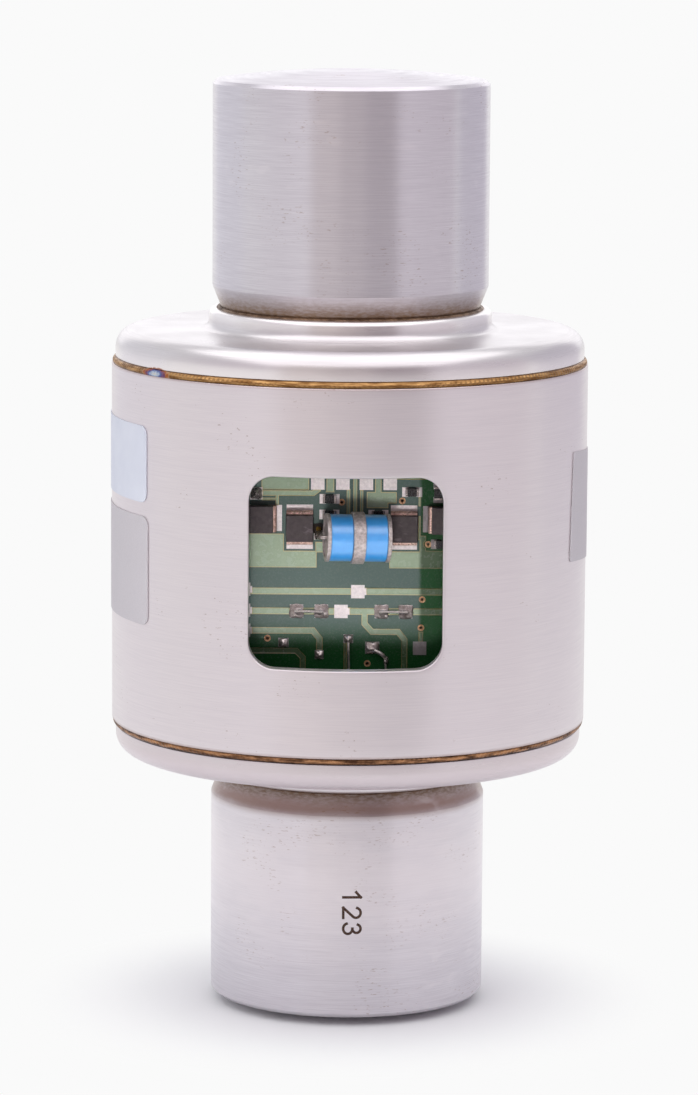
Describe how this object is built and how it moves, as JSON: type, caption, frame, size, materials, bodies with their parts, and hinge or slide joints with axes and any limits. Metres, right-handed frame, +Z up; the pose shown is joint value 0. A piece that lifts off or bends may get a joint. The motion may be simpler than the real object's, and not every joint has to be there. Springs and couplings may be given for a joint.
{
  "type": "column load cell",
  "caption": "Stainless column load cell with crowned load stubs, a welded can with a square window over its circuit board, and a cable gland at the back.",
  "frame": {"origin": "middle of the small land on the lower crown, on the load axis, where the cell stands on its support", "axes": "+Z up the load axis; the window and the board face -Y; the cable gland points along +Y; +X is to the right seen from the window's side"},
  "size_m": [0.0762, 0.0986, 0.15],
  "materials": {
    "column_steel": "fine turned and brushed",
    "can_steel": "fine brushed round the can",
    "weld_metal": "heat-tinted weld",
    "board_mask": "semi-gloss solder mask over glass-fibre laminate",
    "track_mask": "semi-gloss solder mask over copper",
    "tinned_copper": "bright tin",
    "diode_case": "moulded epoxy",
    "terminal_copper": "dull copper",
    "chip_case": "glazed black",
    "arrester_ceramic": "glazed blue ceramic",
    "electrode_nickel": "nickel plate",
    "solder": "bright solder",
    "spacer_brass": "turned brass",
    "screw_steel": "plain steel",
    "gauge_foil": "amber polyimide film",
    "lead_sheath": "white sheath",
    "black_rubber": "matt",
    "nickel_brass": "nickel plated brass",
    "white_film": "satin film",
    "silver_film": "satin silver film"
  },
  "bodies": {
    "root": {"load_column": "column_steel", "upper_cover": "can_steel", "lower_cover": "can_steel", "shell": "can_steel", "upper_rim_weld": "weld_metal", "lower_rim_weld": "weld_metal", "upper_collar_weld": "weld_metal", "lower_collar_weld": "weld_metal", "circuit_board": "board_mask", "board_tracks": "track_mask", "board_pads": "tinned_copper", "via_eyelets": "tinned_copper", "diode_bodies": "diode_case", "diode_terminals": "terminal_copper", "chip_bodies": "chip_case", "chip_ends": "tinned_copper", "arrester_sleeves": "arrester_ceramic", "arrester_electrodes": "electrode_nickel", "arrester_leads": "tinned_copper", "link_wires": "tinned_copper", "signal_wires": "tinned_copper", "solder_joints": "solder", "board_spacers": "spacer_brass", "board_screws": "screw_steel", "strain_gauges": "gauge_foil", "gauge_tabs": "terminal_copper", "gauge_leads": "lead_sheath", "gland_boss": "can_steel", "boss_weld": "weld_metal", "gland_washer": "black_rubber", "gland_body": "nickel_brass", "gland_seal": "black_rubber", "gland_nut": "nickel_brass", "upper_label": "white_film", "lower_label": "silver_film", "side_label": "silver_film"}
  },
  "joints": []
}
